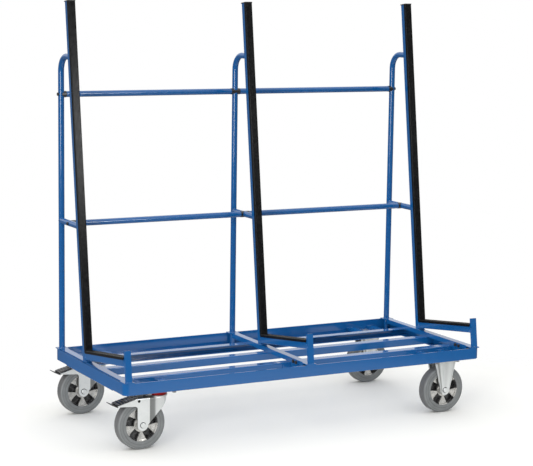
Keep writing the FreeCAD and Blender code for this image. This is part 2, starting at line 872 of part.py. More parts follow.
# Chassis
ring = rail_ring()
side_line = half_width - corner_return
parts["front_rail"] = ring.common(box(-frame_length, frame_length, -frame_width, -side_line,
                                      0, 2 * rail_top))
parts["rear_rail"] = ring.common(box(-frame_length, frame_length, side_line, frame_width,
                                     0, 2 * rail_top))
left_end = end_rail()
parts["end_rails"] = [left_end, left_end.mirror(V(0, 0, 0), PLUS_X)]
parts["deck_bars"] = [moved(deck_bar(-1), 0, -bar_pitch), deck_bar(-1),
                      moved(deck_bar(1), 0, bar_pitch)]
strips = []
for x in (swivel_x, fixed_x):
    for along in (-1, 1):
        strip = moved(caster_strip(), x - strip_offset + along * caster_bolt_pitch_x / 2)
        for piece in (strip, mirrored_y(strip)):
            for hole in caster_holes():
                piece = piece.cut(hole)
            strips.append(piece)
parts["caster_strips"] = strips

# Racks
racks = (("left", -rack_x, 1), ("center", 0.0, -1), ("right", rack_x, -1))
groups = {"link_tubes": link_tube(), "stop_bars": stop_bar(), "post_rubbers": post_rubber(),
          "arm_rubbers": arm_rubber(), "post_sockets": post_socket(), "stop_plates": stop_plate(),
          "post_caps": post_cap()}
singles = {"rear_post": rear_post(), "lean_post": lean_post(), "arm": arm()}
for name, shape in groups.items():
    parts[name] = [moved(shape, x) for rack, x, side in racks]
for name, shape in singles.items():
    for rack, x, side in racks:
        parts[name + "_" + rack] = moved(shape, x)
brackets = []
bolts = []
for rack, x, side in racks:
    parts["foot_beam_" + rack] = moved(foot_beam(side), x)
    bracket = front_bracket()
    screws = [bracket_bolt(place) for place in rack_bolt_places()]
    if side < 0:
        bracket = bracket.mirror(V(0, 0, 0), PLUS_X)
        screws = [screw.mirror(V(0, 0, 0), PLUS_X) for screw in screws]
    brackets.append(moved(bracket, x))
    bolts += [moved(screw, x) for screw in screws]
parts["rack_brackets"] = brackets
parts["rack_bolts"] = bolts

# Rails between the racks
rails = []
saddles = []
screws = []
for y, z, crossing in ((rear_post_y, upper_rail_height, PLUS_Z), (lower_rail_y, link_height, PLUS_Y)):
    saddle = rail_saddle(crossing)
    screw = rail_screw_solid(crossing)
    for x in (-rack_x, 0.0):
        rails.append(moved(cross_rail(), x, y, z))
        saddles.append(moved(saddle, x, y, z))
        saddles.append(moved(saddle.mirror(V(0, 0, 0), PLUS_X), x + rack_x, y, z))
    screws.append(moved(screw, -rack_x, y, z))
    screws.append(moved(rail_stud(), 0, y, z))
    screws.append(moved(screw.mirror(V(0, 0, 0), PLUS_X), rack_x, y, z))
parts["cross_rails"] = rails
parts["rail_saddles"] = saddles
parts["rail_screws"] = screws

# Casters
caster_shapes = {"swivel_plate": swivel_plate(), "seal_ring": seal_ring(), "fork": fork(),
                 "brake_lever": brake_lever(), "pedal_tread": pedal_tread(),
                 "brake_shoe": brake_shoe()}
wheel_shapes = {"axle": axle(), "rim": rim(), "tyre": tyre(), "bearings": bearings()}
for end, y in (("front", -caster_y), ("rear", caster_y)):
    for name, shape in caster_shapes.items():
        parts[name + "_" + end] = moved(shape, swivel_x, y)
    parts["fixed_housing_" + end] = moved(fixed_housing(), fixed_x, y)
    for name, shape in wheel_shapes.items():
        parts["swivel_" + name + "_" + end] = moved(shape, swivel_x - trail, y, wheel_radius)
        parts["fixed_" + name + "_" + end] = moved(shape, fixed_x, y, wheel_radius)
caster_bolts = []
for x in (swivel_x, fixed_x):
    for bolt_x, bolt_y in caster_bolt_places(x):
        caster_bolts.append(moved(caster_bolt_solid(), bolt_x, bolt_y))
parts["caster_bolts"] = caster_bolts

# The pedal reaches past the left end, so the whole cart is shifted until it is centred
reach_left = parts["brake_lever_front"].BoundBox.XMin
chassis_shift = -(reach_left + half_length) / 2
os.makedirs("parts", exist_ok=True)
for name, piece in parts.items():
    if isinstance(piece, list):
        piece = Part.makeCompound(piece)
    moved(piece, chassis_shift).exportStep("parts/" + name + ".step")
print(len(parts), "pieces, shifted by", round(chassis_shift, 3))
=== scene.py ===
# %% [markdown]
# A glass panel cart is a flat steel frame on four casters, with three racks that lean back.
# The solids come from the CAD model, already in metres and in place. Their meshes could be
# reshaped here, but then picture and model would drift apart, so this lesson only dresses them:
# it adds finishes, weld beads, ridges, studs and mould rings, then a stage, light and a camera.

# %% Load the solids and keep their box
import json
import math
import bpy
from mathutils import Matrix, Vector


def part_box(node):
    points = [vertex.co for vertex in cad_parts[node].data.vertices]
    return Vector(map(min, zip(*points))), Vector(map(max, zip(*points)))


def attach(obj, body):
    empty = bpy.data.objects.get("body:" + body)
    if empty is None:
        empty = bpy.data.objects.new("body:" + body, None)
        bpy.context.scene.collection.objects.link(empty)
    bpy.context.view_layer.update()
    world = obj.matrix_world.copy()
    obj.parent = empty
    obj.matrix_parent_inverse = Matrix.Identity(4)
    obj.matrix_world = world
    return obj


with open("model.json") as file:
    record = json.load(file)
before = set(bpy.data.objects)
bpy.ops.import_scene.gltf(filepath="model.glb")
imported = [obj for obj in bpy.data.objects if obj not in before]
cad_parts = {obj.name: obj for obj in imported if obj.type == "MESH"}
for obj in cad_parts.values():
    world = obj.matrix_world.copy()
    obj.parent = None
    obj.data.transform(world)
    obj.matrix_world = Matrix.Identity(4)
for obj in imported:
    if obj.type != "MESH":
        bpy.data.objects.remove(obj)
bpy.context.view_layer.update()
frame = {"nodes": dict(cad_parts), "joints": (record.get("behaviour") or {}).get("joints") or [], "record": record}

nodes = frame["nodes"]
MILLIMETRE = 0.001

# %% [markdown]
# Shader nodes could be made and linked one by one, but they are easier to read as sums. The
# first class below wraps one output socket, so that adding or multiplying two values places a
# Math node between them. The second holds the nodes of one material or of the world. Any node
# comes from its one method, which sets the node's own options first and its sockets second.

# %% Sockets that can stand in a sum


class Value:
    """One output socket."""

    def __init__(self, tree, socket):
        self.tree = tree
        self.socket = socket

    def __add__(self, other):
        return self.tree.math("ADD", self, other)

    def __sub__(self, other):
        return self.tree.math("SUBTRACT", self, other)

    def __rsub__(self, other):
        return self.tree.math("SUBTRACT", other, self)

    def __mul__(self, other):
        return self.tree.math("MULTIPLY", self, other)

    __radd__ = __add__
    __rmul__ = __mul__


print("values add, subtract and multiply")

# %% Trees of shader nodes
MIX_FACTOR, MIX_FIRST, MIX_SECOND, MIX_RESULT = 0, 6, 7, 2


class ShaderTree:
    """The nodes of one material or of the world."""

    def __init__(self, tree):
        self.tree = tree
        tree.nodes.clear()

    def node(self, kind, settings, sockets, output=0):
        made = self.tree.nodes.new(kind)
        for key, setting in settings.items():
            if key == "stops":
                self.place_stops(made.color_ramp.elements, setting)
            else:
                setattr(made, key, setting)
        for key, value in sockets.items():
            if isinstance(value, Value):
                self.tree.links.new(value.socket, made.inputs[key])
            else:
                made.inputs[key].default_value = value
        return None if output is None else Value(self, made.outputs[output])

    def place_stops(self, elements, stops):
        while len(elements) < len(stops):
            elements.new(0.5)
        for element, (position, colour) in zip(elements, stops):
            element.position = position
            element.color = colour

    def math(self, operation, first, second=0.5):
        return self.node("ShaderNodeMath", {"operation": operation}, {0: first, 1: second})

    def vector(self, operation, first, second=(0, 0, 0), output="Vector"):
        return self.node("ShaderNodeVectorMath", {"operation": operation},
                         {0: first, 1: second}, output)

    def length(self, way):
        return self.vector("LENGTH", way, output="Value")

    def between(self, value, start, end, low=0.0, high=1.0, curve="LINEAR"):
        return self.node("ShaderNodeMapRange", {"interpolation_type": curve},
                         {"Value": value, "From Min": start, "From Max": end,
                          "To Min": low, "To Max": high})

    def colours(self, value, first, second, start=0.3, end=0.7):
        stops = [(start, first + (1,)), (end, second + (1,))]
        return self.node("ShaderNodeValToRGB", {"stops": stops}, {"Fac": value})

    def greys(self, value, levels):
        stops = [(position, (level, level, level, 1)) for position, level in levels]
        return self.node("ShaderNodeValToRGB", {"stops": stops}, {"Fac": value})

    def mixed(self, mask, first, second, blend="MIX"):
        return self.node("ShaderNodeMix", {"data_type": "RGBA", "blend_type": blend},
                         {MIX_FACTOR: mask, MIX_FIRST: first, MIX_SECOND: second}, MIX_RESULT)


print("shader trees ready")

# %% Finishes


class Finish(ShaderTree):
    """One material, patterned by the object's own coordinates."""

    def __init__(self, name):
        self.material = bpy.data.materials.new(name)
        self.material.use_nodes = True
        super().__init__(self.material.node_tree)
        self.place = self.node("ShaderNodeTexCoord", {}, {}, "Object")

    def axis(self, name):
        """Returns the point's X, Y or Z."""
        return self.node("ShaderNodeSeparateXYZ", {}, {"Vector": self.place}, name)

    def beside(self, centre):
        """Returns the way from an axle along Y, through centre, to the point."""
        out = self.vector("SUBTRACT", self.place, tuple(centre))
        return self.vector("MULTIPLY", out, (1, 0, 1))

    def noise(self, scale, detail=3.0, stretch=(1, 1, 1), place=None):
        spot = self.node("ShaderNodeMapping", {},
                         {"Vector": place or self.place, "Scale": stretch})
        return self.node("ShaderNodeTexNoise", {},
                         {"Vector": spot, "Scale": scale, "Detail": detail})

    def sheen(self, pattern, low, high, start=0.3, end=0.7):
        return self.greys(pattern, [(start, low), (end, high)])

    def bump(self, height, strength, distance):
        return self.node("ShaderNodeBump", {}, {"Height": height, "Strength": strength,
                                                "Distance": distance * MILLIMETRE})

    def shader(self, **sockets):
        named = {key.replace("_", " "): value for key, value in sockets.items()}
        surface = self.node("ShaderNodeBsdfPrincipled", {}, named)
        self.node("ShaderNodeOutputMaterial", {}, {"Surface": surface}, None)
        return self.material


print("finishes ready")

# %% [markdown]
# The frame is powder coated in a gentian blue. Up close such paint has an orange-peel surface,
# a slightly uneven shade and a thin clear gloss that mirrors the surroundings at low angles.
# One flat colour would look like plastic, and a painted picture would need unwrapped faces. So
# noise at three sizes gives the shade, the gloss and the peel.

# %% Blue powder coat


def blue_coat(deep, pale):
    finish = Finish("frame_blue")
    shade = finish.noise(2.4, 2.0)
    cloud = finish.noise(35.0, 3.0)
    peel = finish.noise(420.0, 2.0)
    colour = finish.colours(shade * 0.7 + cloud * 0.3, deep, pale)
    return finish.shader(Base_Color=colour, Roughness=finish.sheen(cloud, 0.1, 0.15),
                         Normal=finish.bump(peel, 0.012, 0.1), Coat_Weight=0.3,
                         Coat_Roughness=0.04, Specular_IOR_Level=0.4)


frame_blue = blue_coat((0.005, 0.09, 0.285), (0.007, 0.1, 0.312))
print("made", frame_blue.name)

# %% [markdown]
# The rubber profiles are extruded, so their marks run along the length: fine lines that vary
# only across the width. They are too fine to model, so stretched noise drives a bump. A little
# pale dust lies on them. Plastic pieces have a moulded grain instead, and the fasteners a dull
# oxide or plating, so one function with other sizes makes them all. The studs of the pedals
# are a paler grey, a painted sheen in place of their highlights.

# %% Rubber and black finishes


def black_rubber():
    finish = Finish("black_rubber")
    dust = finish.noise(60.0, 4.0)
    streak = finish.noise(900.0, 1.0, (1, 0.02, 0.02))
    colour = finish.colours(dust, (0.003, 0.0033, 0.004), (0.007, 0.0073, 0.008))
    return finish.shader(Base_Color=colour, Roughness=finish.sheen(dust, 0.17, 0.24),
                         Normal=finish.bump(streak, 0.2, 0.15), Specular_IOR_Level=0.1)


def fine_grained(name, base, low, high, grain):
    finish = Finish(name)
    patch = finish.noise(80.0, 3.0)
    fine = finish.noise(grain, 2.0)
    lighter = tuple(channel * 1.7 for channel in base)
    return finish.shader(Base_Color=finish.colours(patch, base, lighter),
                         Roughness=finish.sheen(patch, low, high),
                         Normal=finish.bump(fine, 0.2, 0.15))


rubber = black_rubber()
plastic = fine_grained("black_plastic", (0.008, 0.008, 0.009), 0.14, 0.22, 900.0)
# Paler grey for the pedal studs: a painted sheen in place of their highlights.
stud_sheen = fine_grained("stud_sheen_plastic", (0.07, 0.07, 0.073), 0.14, 0.22, 900.0)
oxide = fine_grained("black_oxide", (0.006, 0.006, 0.007), 0.4, 0.55, 700.0)
dull = fine_grained("dull_plating", (0.17, 0.17, 0.175), 0.35, 0.5, 700.0)
print("made", rubber.name, plastic.name, stud_sheen.name, oxide.name, dull.name)

# %% [markdown]
# Pressed caster parts are zinc plated: bright, bluish white and slightly cloudy, with faint
# drawing marks. The forks are pressed with a crease behind the leg, and the plate beside it
# turns away from the light, so a painted shade darkens a fork's finish just behind that line.
# The legs of the fixed housings have bent edges, and a painted shade beside them follows the
# leg's taper. A black disc is painted round the pedal's pivot pin, and a black ring of painted
# shade lies under the heads of the axles. A mask painted by hand could hold all this, but
# measured from axle and pin it lies right on every caster.

# %% Bright zinc
WHEEL_RADIUS = 0.1
CREASE_SPAN, CREASE_START = 0.1, 0.125
# Painted shade: multipliers that darken the zinc just behind a fork's crease.
CREASE_PAINTED_SHADE = [(0.0, 1.0), (0.115, 1.0), (0.135, 0.27), (0.32, 0.3), (0.4, 0.85), (0.5, 0.9)]
# Painted shade: darker stripes beside the bent edges of a fixed housing's legs.
FLANGE_PAINTED_SHADE = [(0.0, 0.9), (0.05, 0.85), (0.11, 0.35), (0.16, 0.5), (0.22, 1.0),
                (0.52, 0.84), (0.75, 1.0), (0.9, 0.95), (0.93, 0.72), (1.0, 1.0)]
LEG_HALF, LEG_TOP_HALF, LEG_TOP = 0.022, 0.052, 0.228
# A black disc round the pedal pin, and a black ring of painted shade under each axle head.
DARK_RING_EDGE = 0.0006
DARK_RING_BLACK = (0.004, 0.004, 0.004, 1)


def bright_zinc(name, crease=None, leg=None, dark_rings=()):
    finish = Finish(name)
    spangle = finish.node("ShaderNodeTexVoronoi", {},
                          {"Vector": finish.place, "Scale": 160.0}, "Color")
    patch = finish.node("ShaderNodeSeparateColor", {}, {"Color": spangle})
    cloud = finish.noise(16.0, 3.0)
    drawn = finish.noise(260.0, 2.0, (1, 1, 0.08))
    colour = finish.colours(cloud * 0.85 + patch * 0.15, (0.66, 0.68, 0.68), (0.73, 0.75, 0.75))
    if crease is not None:
        # Painted shade: the plate behind the crease is darkened.
        behind = (finish.axis("X") - crease) * (1 / CREASE_SPAN) + CREASE_START
        colour = finish.mixed(1.0, colour, finish.greys(behind, CREASE_PAINTED_SHADE), "MULTIPLY")
    if leg is not None:
        # Painted shade: darker stripes beside the leg's bent edges, following its taper.
        half = finish.between(finish.axis("Z"), WHEEL_RADIUS, LEG_TOP, LEG_HALF, LEG_TOP_HALF)
        across = finish.math("DIVIDE", finish.axis("X") - leg.x, half) * 0.5 + 0.5
        colour = finish.mixed(1.0, colour, finish.greys(across, FLANGE_PAINTED_SHADE), "MULTIPLY")
    # Black disc round the pin; black ring of painted shade round each axle head.
    for spot, radius in dark_rings:
        reach = finish.length(finish.beside(spot))
        darkened = finish.between(reach, radius, radius + DARK_RING_EDGE, 1.0, 0.0)
        colour = finish.mixed(darkened, colour, DARK_RING_BLACK)
    return finish.shader(Base_Color=colour, Metallic=0.65, Normal=finish.bump(drawn, 0.03, 0.05),
                         Roughness=finish.sheen(cloud + patch * 0.1, 0.28, 0.34, 0.3, 0.9))


zinc = bright_zinc("bright_zinc")
print("made", zinc.name)

# %% [markdown]
# The rims are cast alloy with a dark web between bright spokes. Two materials would need the
# rim's faces sorted, so one material decides by place: the distance from the wheel's middle
# plane tells web and spoke apart. The web's dark colour goes on over the edge of the rim, in
# line with each pocket, so there the angle round the axle decides. Noise on the direction from
# the hub gives lighter and darker streaks that run outwards. The brake levers are plain dark
# steel, with the ends of their pivot pin blackened.

# %% Cast alloy and lever steel
WEB_DEPTH = 0.009
SPOKE_DEPTH = 0.0165
SPOKES = 5
POCKET_END, POCKET_EDGE = 0.0618, 0.0008
POCKET_SIDE = 0.1
LEVER_CHEEK = 0.0298
PIN_BLACK = (0.006, 0.006, 0.006, 1)


def cast_alloy(name, centre):
    finish = Finish(name)
    depth = finish.math("ABSOLUTE", finish.axis("Y") - centre.y)
    face = finish.between(depth, WEB_DEPTH, SPOKE_DEPTH)
    out = finish.beside(centre)
    reach = finish.length(out)
    turn = finish.math("ARCTAN2", finish.axis("Z") - centre.z, finish.axis("X") - centre.x)
    in_pocket = finish.between(finish.math("SINE", turn * SPOKES), 0.0, POCKET_SIDE)
    pocket_band = in_pocket * finish.between(reach, POCKET_END, POCKET_END + POCKET_EDGE)
    spoke_mask = face * (1 - pocket_band)
    radial_streaks = finish.noise(24.0, 2.0, place=finish.vector("NORMALIZE", out))
    cloud = finish.noise(75.0, 3.0)
    grain = finish.noise(500.0, 3.0)
    alloy = finish.colours(radial_streaks * 0.6 + cloud * 0.4,
                           (0.3, 0.3, 0.29), (0.65, 0.64, 0.62), 0.36, 0.64)
    web = finish.colours(cloud, (0.012, 0.012, 0.013), (0.09, 0.09, 0.092), 0.45, 0.75)
    return finish.shader(Base_Color=finish.mixed(spoke_mask, web, alloy), Metallic=spoke_mask * 0.5 + 0.4,
                         Roughness=finish.sheen(grain, 0.2, 0.34),
                         Normal=finish.bump(grain, 0.18, 0.25))


def lever_steel(name, plane):
    finish = Finish(name)
    depth = finish.math("ABSOLUTE", finish.axis("Y") - plane)
    pin = finish.math("GREATER_THAN", depth, LEVER_CHEEK)
    cloud = finish.noise(60.0, 3.0)
    steel = finish.colours(cloud, (0.03, 0.03, 0.032), (0.08, 0.08, 0.083))
    return finish.shader(Base_Color=finish.mixed(pin, steel, PIN_BLACK), Metallic=0.8,
                         Roughness=finish.sheen(cloud, 0.28, 0.42),
                         Normal=finish.bump(finish.noise(500.0, 2.0), 0.1, 0.1))


print("alloy and steel finishes ready")

# %% [markdown]
# The tyres are grey elastic rubber. Mould marks run round the sidewall, and darker rings are
# painted at the bead and along two lines as the shade in grooves. The rolling face is scuffed a
# little darker. A round picture could be laid on, but the distance from the axle gives the same
# rings without one. The seal over the ball race is a red plastic ring.

# %% Tyres and seal
TYRE_SEAT = 0.066
TREAD_EDGE = 0.004
TREAD_GREY = (0.085, 0.085, 0.088, 1)
FINE_RINGS = 2400.0
GROOVE_SHADE_RINGS = [(0.0, 0.5), (0.1, 1.0), (0.36, 1.0), (0.4, 0.56), (0.44, 1.0),
              (0.68, 1.0), (0.72, 0.6), (0.76, 1.0)]


def grey_tyre(name, centre):
    finish = Finish(name)
    reach = finish.length(finish.beside(centre))
    fine_rings = finish.math("SINE", reach * FINE_RINGS)
    scuffed = finish.between(reach, WHEEL_RADIUS - TREAD_EDGE, WHEEL_RADIUS)
    patch = finish.noise(40.0, 4.0)
    fine = finish.noise(650.0, 2.0)
    side = finish.colours(patch, (0.15, 0.16, 0.163), (0.19, 0.2, 0.203))
    height = finish.between(reach, TYRE_SEAT, WHEEL_RADIUS)
    # Painted shade: darker rings at the bead and along two grooves.
    side = finish.mixed(1.0, side, finish.greys(height, GROOVE_SHADE_RINGS), "MULTIPLY")
    colour = finish.mixed(scuffed * 0.8, side, TREAD_GREY)
    return finish.shader(Base_Color=colour, Roughness=finish.sheen(patch, 0.46, 0.62),
                         Normal=finish.bump(fine_rings * 0.25 + fine, 0.15, 0.2))


def red_plastic():
    finish = Finish("red_plastic")
    patch = finish.noise(70.0, 3.0)
    colour = finish.colours(patch, (0.2, 0.001, 0.003), (0.27, 0.002, 0.004))
    return finish.shader(Base_Color=colour, Roughness=finish.sheen(patch, 0.28, 0.42),
                         Normal=finish.bump(finish.noise(800.0, 2.0), 0.1, 0.1),
                         Specular_IOR_Level=0.15)


red = red_plastic()
print("made", red.name)

# %% [markdown]
# Each solid's record names the slot of its material, so most solids get their finish from one
# table. The caster bolts are duller than the pressed parts. Rims, tyres, forks, housings and
# levers have a pattern round their own axle or pin, and so each of them gets a finish of its
# own, placed by the middle of a solid's box or by a joint.

# %% Give every solid its finish


def paint(node, material):
    slots = nodes[node].data.materials
    slots.clear()
    slots.append(material)


def middle(node):
    low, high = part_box(node)
    return (Vector(low) + Vector(high)) / 2


finish_of_slot = {"blue_paint": frame_blue, "black_rubber": rubber, "black_plastic": plastic,
                  "black_steel": oxide, "zinc": zinc, "red_seal": red}
for part in frame["record"]["subparts"]:
    if part["material_slot"] in finish_of_slot:
        paint(part["node"], finish_of_slot[part["material_slot"]])
paint("caster_bolts", dull)
print("painted by slot:", ", ".join(finish_of_slot))

# %% Finishes round an axle or a pin
FORK_CREASE = 0.029
# The pin radius gives a black disc; the axle radius gives a ring of painted shade under the head.
PIN_DARK_RADIUS, AXLE_SHADE_RADIUS = 0.0055, 0.0118
pivots = {joint["name"]: Vector(joint["pos_m"]) for joint in frame["joints"]}
wheels = {}
for end in ("front", "rear"):
    for kind in ("swivel", "fixed"):
        wheel = kind + "_{}_" + end
        centre = middle(wheel.format("tyre"))
        wheels[kind, end] = centre
        paint(wheel.format("tyre"), grey_tyre(wheel.format("tyre"), centre))
        paint(wheel.format("rim"), cast_alloy(wheel.format("rim"), centre))
    swivel, fixed = wheels["swivel", end], wheels["fixed", end]
    fork_dark_rings = [(pivots["pedal_" + end], PIN_DARK_RADIUS), (swivel, AXLE_SHADE_RADIUS)]
    paint("fork_" + end, bright_zinc("crease_shaded_zinc_" + end, crease=swivel.x + FORK_CREASE,
                                     dark_rings=fork_dark_rings))
    paint("fixed_housing_" + end, bright_zinc("flange_shaded_zinc_" + end, leg=fixed,
                                              dark_rings=[(fixed, AXLE_SHADE_RADIUS)]))
    shoe_plane = middle("brake_shoe_" + end).y
    paint("brake_lever_" + end, lever_steel("lever_steel_" + end, shoe_plane))
print("wheels painted:", len(wheels))

# %% [markdown]
# Geometry Nodes suit what repeats or follows a path: a loop could place every copy, but a tree
# is built once and used again with other sizes. The helpers below start a tree with named
# inputs, add nodes to it, and close it so that it ends in real geometry with a material. The
# last one runs a tree on a carrier object and keeps the result as a plain mesh on one body.

# %% Start, fill and close a tree


def new_tree(name, inputs):
    tree = bpy.data.node_groups.new(name, "GeometryNodeTree")
    tree.interface.new_socket("Geometry", in_out="INPUT", socket_type="NodeSocketGeometry")
    for label, kind in inputs:
        tree.interface.new_socket(label, in_out="INPUT", socket_type=kind)
    tree.interface.new_socket("Geometry", in_out="OUTPUT", socket_type="NodeSocketGeometry")
    return tree, tree.nodes.new("NodeGroupInput").outputs


def add(tree, kind, settings=None, **links):
    made = tree.nodes.new(kind)
    for key, setting in (settings or {}).items():
        setattr(made, key, setting)
    for key, value in links.items():
        socket = made.inputs[key.replace("_", " ")]
        if isinstance(value, bpy.types.NodeSocket):
            tree.links.new(value, socket)
        else:
            socket.default_value = value
    return made


def close_tree(tree, geometry, material):
    smooth = add(tree, "GeometryNodeSetShadeSmooth", Geometry=geometry)
    real = add(tree, "GeometryNodeRealizeInstances", Geometry=smooth.outputs[0])
    painted = add(tree, "GeometryNodeSetMaterial", Geometry=real.outputs[0], Material=material)
    target = tree.nodes.new("NodeGroupOutput")
    tree.links.new(painted.outputs[0], target.inputs["Geometry"])
    print("tree", tree.name, "nodes:", len(tree.nodes))


print("tree helpers ready")

# %% Grow a piece and let it ride


def carry(name, data):
    carrier = bpy.data.objects.new(name, data)
    bpy.context.scene.collection.objects.link(carrier)
    return carrier


def path_carrier(name, paths):
    curve = bpy.data.curves.new(name, "CURVE")
    curve.dimensions = "3D"
    for points in paths:
        spline = curve.splines.new("POLY")
        spline.points.add(len(points) - 1)
        for point, place in zip(spline.points, points):
            point.co = (*place, 1.0)
    return carry(name, curve)


def grown(name, carrier, tree, values, body):
    modifier = carrier.modifiers.new("grow", "NODES")
    modifier.node_group = tree
    for item in tree.interface.items_tree:
        if item.in_out == "INPUT" and item.name in values:
            modifier[item.identifier] = values[item.name]
    bpy.context.view_layer.update()
    graph = bpy.context.evaluated_depsgraph_get()
    mesh = bpy.data.meshes.new_from_object(carrier.evaluated_get(graph))
    carrier.modifiers.remove(modifier)
    bpy.data.objects.remove(carrier)
    mesh.name = name
    piece = carry(name, mesh)
    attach(piece, body)
    print(name, "faces:", len(mesh.polygons))


print("pieces can be grown")

# %% [markdown]
# The racks and the caster strips are welded. A weld bead is a row of small overlapping ripples
# along a seam. Bump alone would leave the corner sharp, so the ripples are real: points along
# a path with a ball on each, all of slightly different size. One tree serves every bead, with
# the spacing and the radius as named inputs.

# %% Weld bead tree
SMALLEST, LARGEST = 0.85, 1.2
BEAD_SEED = 7
bead_tree, bead_in = new_tree("weld_bead", [("Spacing", "NodeSocketFloat"),
                                            ("Radius", "NodeSocketFloat"),
                                            ("Material", "NodeSocketMaterial")])
along = add(bead_tree, "GeometryNodeCurveToPoints", {"mode": "LENGTH"},
            Curve=bead_in["Geometry"], Length=bead_in["Spacing"])
ripple = add(bead_tree, "GeometryNodeMeshUVSphere", Radius=bead_in["Radius"], Segments=8, Rings=5)
size = add(bead_tree, "FunctionNodeRandomValue", {"data_type": "FLOAT"}, Seed=BEAD_SEED)
size.inputs[2].default_value = SMALLEST
size.inputs[3].default_value = LARGEST
ripples = add(bead_tree, "GeometryNodeInstanceOnPoints", Points=along.outputs["Points"],
              Instance=ripple.outputs["Mesh"], Scale=size.outputs[1])
close_tree(bead_tree, ripples.outputs["Instances"], bead_in["Material"])

# %% [markdown]
# Post and arm of a rack meet at a right angle, and the whole rack is tipped back. So beads and
# ridges on it are laid out along straight axes first and then tipped: y runs along the arm and
# z along the post, from the inner corner where the rubber faces meet.

# %% The tipped rack
LEAN = math.radians(7.5)
SQUARE_TUBE = 0.030
RUBBER_DEPTH = 0.008
BAY_DEPTH = 0.390
CORNER_Y, CORNER_RISE = 0.046, 0.047
foot_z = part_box("foot_beam_center")[1][2]
corner_z = foot_z + CORNER_RISE
rack_x = {rack: middle("arm_" + rack).x for rack in ("left", "center", "right")}


def tipped(x, y, z):
    return (x, CORNER_Y + y * math.cos(LEAN) + z * math.sin(LEAN),
            corner_z - y * math.sin(LEAN) + z * math.cos(LEAN))


def post_back(z):
    """Returns y on the sloped back of a leaning post at height z."""
    depth = RUBBER_DEPTH + SQUARE_TUBE
    rise = z - corner_z + depth * math.sin(LEAN)
    return CORNER_Y + depth * math.cos(LEAN) + rise * math.tan(LEAN)


print("racks at x:", [round(x, 3) for x in rack_x.values()])

# %% [markdown]
# The racks' square feet stand on the foot beams, and a seam runs round each of them. Its place
# could be typed in, but read from the solids' boxes it stays with them. Where an arm meets its
# post and its stop, the bead runs round the three sides that the rubber leaves free.

# %% Seams at feet and arms
STOP_HALF = 0.0125
STOP_DEPTH = 0.0121
SEAM_START = 0.012


def rectangle(x0, x1, y0, y1, z):
    return [(x0, y0, z), (x1, y0, z), (x1, y1, z), (x0, y1, z), (x0, y0, z)]


def seam_under(x, half, y):
    top, bottom = -RUBBER_DEPTH - SEAM_START, -RUBBER_DEPTH - SQUARE_TUBE
    return [tipped(x + side * half, y, z)
            for side, z in ((-1, top), (-1, bottom), (1, bottom), (1, top))]


seams = []
stop_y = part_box("stop_bars")[0][1]
for rack, x in rack_x.items():
    low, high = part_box("lean_post_" + rack)
    foot_depth = SQUARE_TUBE / math.cos(LEAN)
    seams.append(rectangle(low[0], high[0], low[1], low[1] + foot_depth, foot_z))
    seams.append(rectangle(x - STOP_HALF, x + STOP_HALF, stop_y, stop_y + STOP_DEPTH, foot_z))
    seams.append(seam_under(x, SQUARE_TUBE / 2, RUBBER_DEPTH))
    seams.append(seam_under(x, STOP_HALF, -BAY_DEPTH))
print("seams at feet and arms:", len(seams))

# %% [markdown]
# The rear posts stand in a round seam, and round tubes end on such a post or on the sloped back
# of a leaning one. On the round post the seam is a saddle: the tube's own circle, pushed out by
# the curve of the post. On the slope it is a circle that follows the slope. Cutting the meshes
# with each other would find these lines too, but a sine and a cosine are enough.

# %% Seams of the round tubes
ROUND_TUBE = 0.0125
RING_STEPS = 32


def full_turn(steps):
    return [2 * math.pi * step / steps for step in range(steps + 1)]


ring_turns = full_turn(RING_STEPS)
link_z = middle("link_tubes").z
for rack, x in rack_x.items():
    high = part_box("rear_post_" + rack)[1]
    post_y = high[1] - ROUND_TUBE
    seams.append([(x + ROUND_TUBE * math.cos(turn), post_y + ROUND_TUBE * math.sin(turn), foot_z)
                  for turn in ring_turns])
    seams.append([(x + ROUND_TUBE * math.cos(turn), post_y - ROUND_TUBE * abs(math.sin(turn)),
                   link_z + ROUND_TUBE * math.sin(turn)) for turn in ring_turns])
    for tube_z in (link_z, high[2] - ROUND_TUBE):
        ring_z = [tube_z + ROUND_TUBE * math.sin(turn) for turn in ring_turns]
        seams.append([(x + ROUND_TUBE * math.cos(turn), post_back(z), z)
                      for turn, z in zip(ring_turns, ring_z)])
print("seams with round tubes:", len(seams))

# %% [markdown]
# The caster strips are short tubes between a rail and a deck bar, welded along the upper edge of
# both ends. One node holds all eight, so their places along the deck come from its vertices: a
# wide jump in x marks the next strip.

# %% Seams of the caster strips
STRIP_JUMP, STRIP_INSET = 0.05, 0.003
strip_low, strip_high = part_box("caster_strips")
bar_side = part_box("deck_bars")[1][1]
strip_x = sorted(vertex.co.x for vertex in nodes["caster_strips"].data.vertices)
starts = [strip_x[0]] + [b for a, b in zip(strip_x, strip_x[1:]) if b - a > STRIP_JUMP]
ends = [a for a, b in zip(strip_x, strip_x[1:]) if b - a > STRIP_JUMP] + [strip_x[-1]]
for start, end in zip(starts, ends):
    for y in (strip_low[1], -bar_side, bar_side, strip_high[1]):
        seams.append([(start + STRIP_INSET, y, strip_high[2]),
                      (end - STRIP_INSET, y, strip_high[2])])
print("strips along the deck:", len(starts), "seams:", len(seams))

# %% Lay the weld beads
BEAD_SPACING, BEAD_RADIUS = 0.0021, 0.0019
grown("weld_beads", path_carrier("weld_paths", seams), bead_tree,
      {"Spacing": BEAD_SPACING, "Radius": BEAD_RADIUS, "Material": frame_blue},
      "cart")

# %% [markdown]
# The rubber faces carry lengthwise ridges that grip the panes. Each ridge is a rod sunk halfway
# into the face. A long cylinder would do, but a tree that sweeps a small circle along any line
# serves for the tyres as well. There are five lines to a face.

